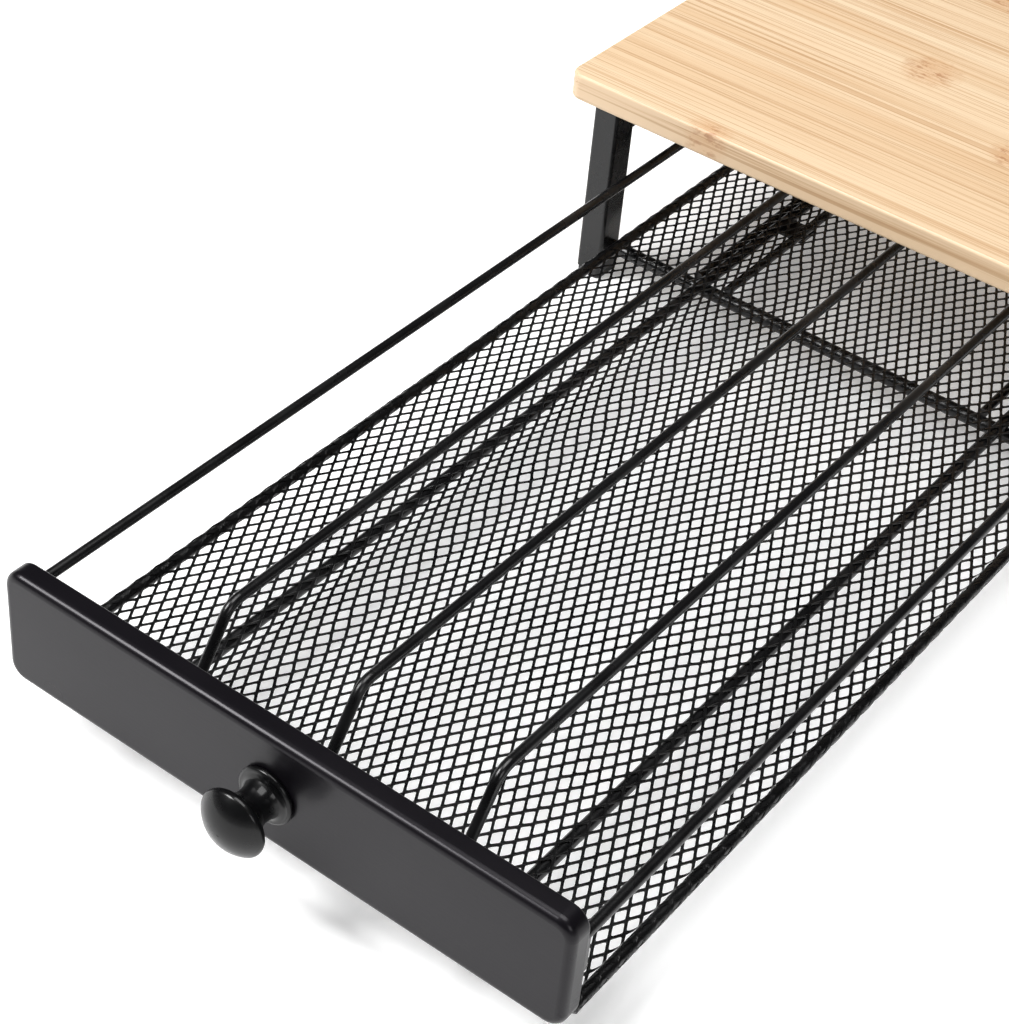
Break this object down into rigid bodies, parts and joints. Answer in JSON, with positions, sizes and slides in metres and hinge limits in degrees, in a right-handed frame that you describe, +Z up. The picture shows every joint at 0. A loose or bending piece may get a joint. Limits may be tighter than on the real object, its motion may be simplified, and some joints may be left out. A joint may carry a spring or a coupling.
{
  "type": "desktop stand with drawer",
  "caption": "Low desktop stand: a bamboo board on black steel legs, with one long sliding drawer of wire and expanded metal with a board front and a round knob.",
  "frame": {"origin": "on the surface the feet rest on, in the middle of the whole object's length and width with the drawer as shown, 0.351 m out", "axes": "+Z up, +Y from the drawer's front to the rear of the stand, +X to the right of a person facing the drawer front"},
  "size_m": [0.292, 0.874, 0.095],
  "materials": {
    "bamboo": "clear satin lacquer over laminated bamboo",
    "panel_paint": "black satin paint over board",
    "knob_enamel": "black gloss enamel",
    "black_steel": "black satin powder coat",
    "mesh_steel": "black satin powder coat",
    "foot_rubber": "matte black",
    "screw_steel": "black zinc plate"
  },
  "bodies": {
    "stand": {"bamboo_top": "bamboo", "board_screws": "screw_steel", "crossbar_front": "black_steel", "crossbar_rear": "black_steel", "fixing_tab_front_left": "black_steel", "fixing_tab_front_right": "black_steel", "fixing_tab_middle_left": "black_steel", "fixing_tab_middle_right": "black_steel", "fixing_tab_rear_left": "black_steel", "fixing_tab_rear_right": "black_steel", "foot_front_left": "foot_rubber", "foot_front_right": "foot_rubber", "foot_rear_left": "foot_rubber", "foot_rear_right": "foot_rubber", "guide_rod_inner_left": "black_steel", "guide_rod_inner_right": "black_steel", "guide_rod_outer_left": "black_steel", "guide_rod_outer_right": "black_steel", "leg_front_left": "black_steel", "leg_front_right": "black_steel", "leg_rear_left": "black_steel", "leg_rear_right": "black_steel", "side_rail_left": "black_steel", "side_rail_right": "black_steel", "stop_lug_left": "black_steel", "stop_lug_right": "black_steel"},
    "drawer": {"divider_centre": "black_steel", "divider_left": "black_steel", "divider_right": "black_steel", "edge_rod_left": "black_steel", "edge_rod_right": "black_steel", "fixing_plate_high_left": "black_steel", "fixing_plate_high_right": "black_steel", "fixing_plate_low_left": "black_steel", "fixing_plate_low_right": "black_steel", "floor_bar_front": "black_steel", "floor_bar_rear": "black_steel", "front_panel": "panel_paint", "knob": "knob_enamel", "knob_screw": "screw_steel", "mesh_floor": "mesh_steel", "panel_screws": "screw_steel", "rear_post_left": "black_steel", "rear_post_right": "black_steel", "rear_rod": "black_steel", "runner_left": "black_steel", "runner_right": "black_steel", "side_rod_left": "black_steel", "side_rod_right": "black_steel", "tilt_hook_left": "black_steel", "tilt_hook_right": "black_steel"}
  },
  "joints": [
    {"name": "drawer_slide", "type": "slide", "parent": "stand", "child": "drawer", "axis": [0, -1, 0], "range_m": [-0.351, 0.055]}
  ]
}
